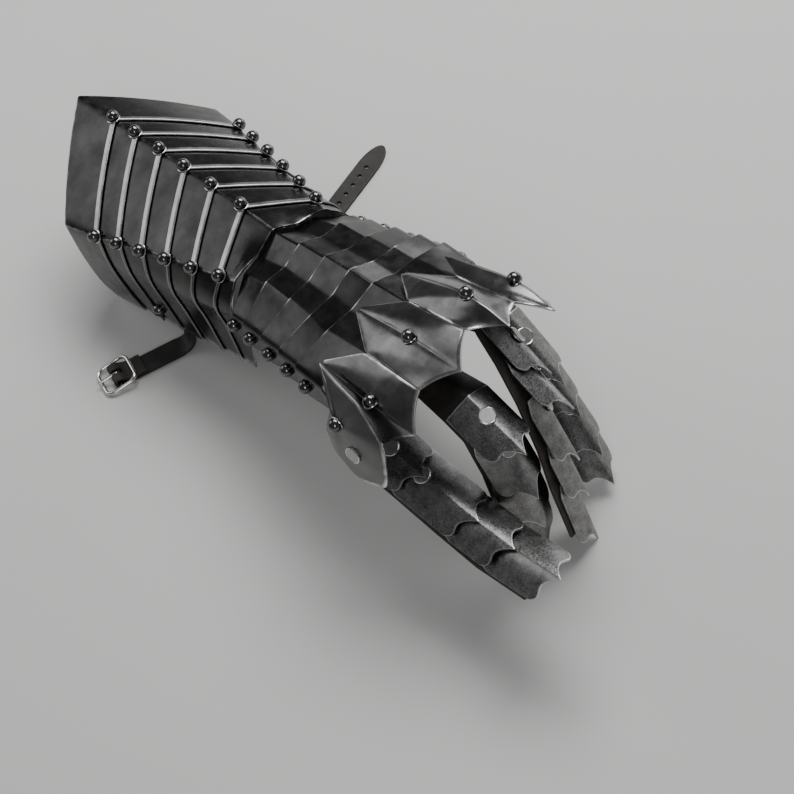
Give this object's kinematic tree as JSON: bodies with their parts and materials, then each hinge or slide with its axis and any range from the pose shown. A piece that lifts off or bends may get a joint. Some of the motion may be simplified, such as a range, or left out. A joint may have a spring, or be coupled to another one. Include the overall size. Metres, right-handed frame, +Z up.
{
  "type": "armoured gauntlet",
  "caption": "Articulated plate gauntlet for a left hand: flared lamed cuff, flexing hand lames, pointed knuckle caps, lapped finger plates on leather, buckled wrist strap.",
  "frame": {"origin": "centre of the bounding box at the surface it rests on", "axes": "+X from the elbow to the fingertips, +Z up"},
  "size_m": [0.5076, 0.2676, 0.1697],
  "materials": {
    "dark_steel": "dark gunmetal satin with cloudy wear and bright rubbed edges",
    "cap_steel": "brighter brushed polish",
    "plate_steel": "mottled, lightly pitted grey with bright cut edges",
    "black_leather": "black with a brown raw edge",
    "nickel": "polished nickel wire"
  },
  "bodies": {
    "cuff": {"cuff_lame_1": "dark_steel", "cuff_lame_2": "dark_steel", "cuff_lame_3": "dark_steel", "cuff_lame_4": "dark_steel", "cuff_lame_5": "dark_steel", "cuff_lame_6": "dark_steel", "cuff_lame_7": "dark_steel", "buckle_strap": "black_leather", "tongue_strap": "black_leather", "buckle_frame": "nickel"},
    "buckle_prong": {"buckle_prong": "nickel"},
    "hand_1": {"hand_lame_1": "dark_steel"},
    "hand_2": {"hand_lame_2": "dark_steel"},
    "hand_3": {"hand_lame_3": "dark_steel"},
    "hand_4": {"hand_lame_4": "dark_steel"},
    "hand_5": {"hand_lame_5": "dark_steel", "knuckle_cap_index": "cap_steel", "knuckle_cap_middle": "cap_steel", "knuckle_cap_ring": "cap_steel", "knuckle_cap_little": "cap_steel", "thumb_base_plate": "dark_steel", "index_plate_1": "plate_steel", "index_plate_2": "plate_steel", "index_plate_3": "plate_steel", "index_plate_4": "plate_steel", "middle_plate_1": "plate_steel", "middle_plate_2": "plate_steel", "middle_plate_3": "plate_steel", "middle_plate_4": "plate_steel", "ring_plate_1": "plate_steel", "ring_plate_2": "plate_steel", "ring_plate_3": "plate_steel", "ring_plate_4": "plate_steel", "ring_plate_5": "plate_steel", "little_plate_1": "plate_steel", "little_plate_2": "plate_steel", "little_plate_3": "plate_steel", "little_plate_4": "plate_steel", "index_leather": "black_leather", "middle_leather": "black_leather", "ring_leather": "black_leather", "little_leather": "black_leather"}
  },
  "joints": [
    {"name": "flex_1", "type": "hinge", "parent": "cuff", "child": "hand_1", "pos_m": [-0.02886, -0.01734, 0.08462], "axis": [0, 1, 0], "range_deg": [0, 5]},
    {"name": "flex_2", "type": "hinge", "parent": "hand_1", "child": "hand_2", "pos_m": [-0.00833, -0.01734, 0.08966], "axis": [0, 1, 0], "range_deg": [0, 5]},
    {"name": "flex_3", "type": "hinge", "parent": "hand_2", "child": "hand_3", "pos_m": [0.01426, -0.01734, 0.09495], "axis": [0, 1, 0], "range_deg": [0, 5]},
    {"name": "flex_4", "type": "hinge", "parent": "hand_3", "child": "hand_4", "pos_m": [0.03591, -0.01734, 0.09988], "axis": [0, 1, 0], "range_deg": [0, 5]},
    {"name": "flex_5", "type": "hinge", "parent": "hand_4", "child": "hand_5", "pos_m": [0.05697, -0.01734, 0.10353], "axis": [0, 1, 0], "range_deg": [0, 5]},
    {"name": "prong_swing", "type": "hinge", "parent": "cuff", "child": "buckle_prong", "pos_m": [-0.12534, -0.11934, 0.0042], "axis": [-0.9613, 0.2756, 0], "range_deg": [0, 80]}
  ]
}
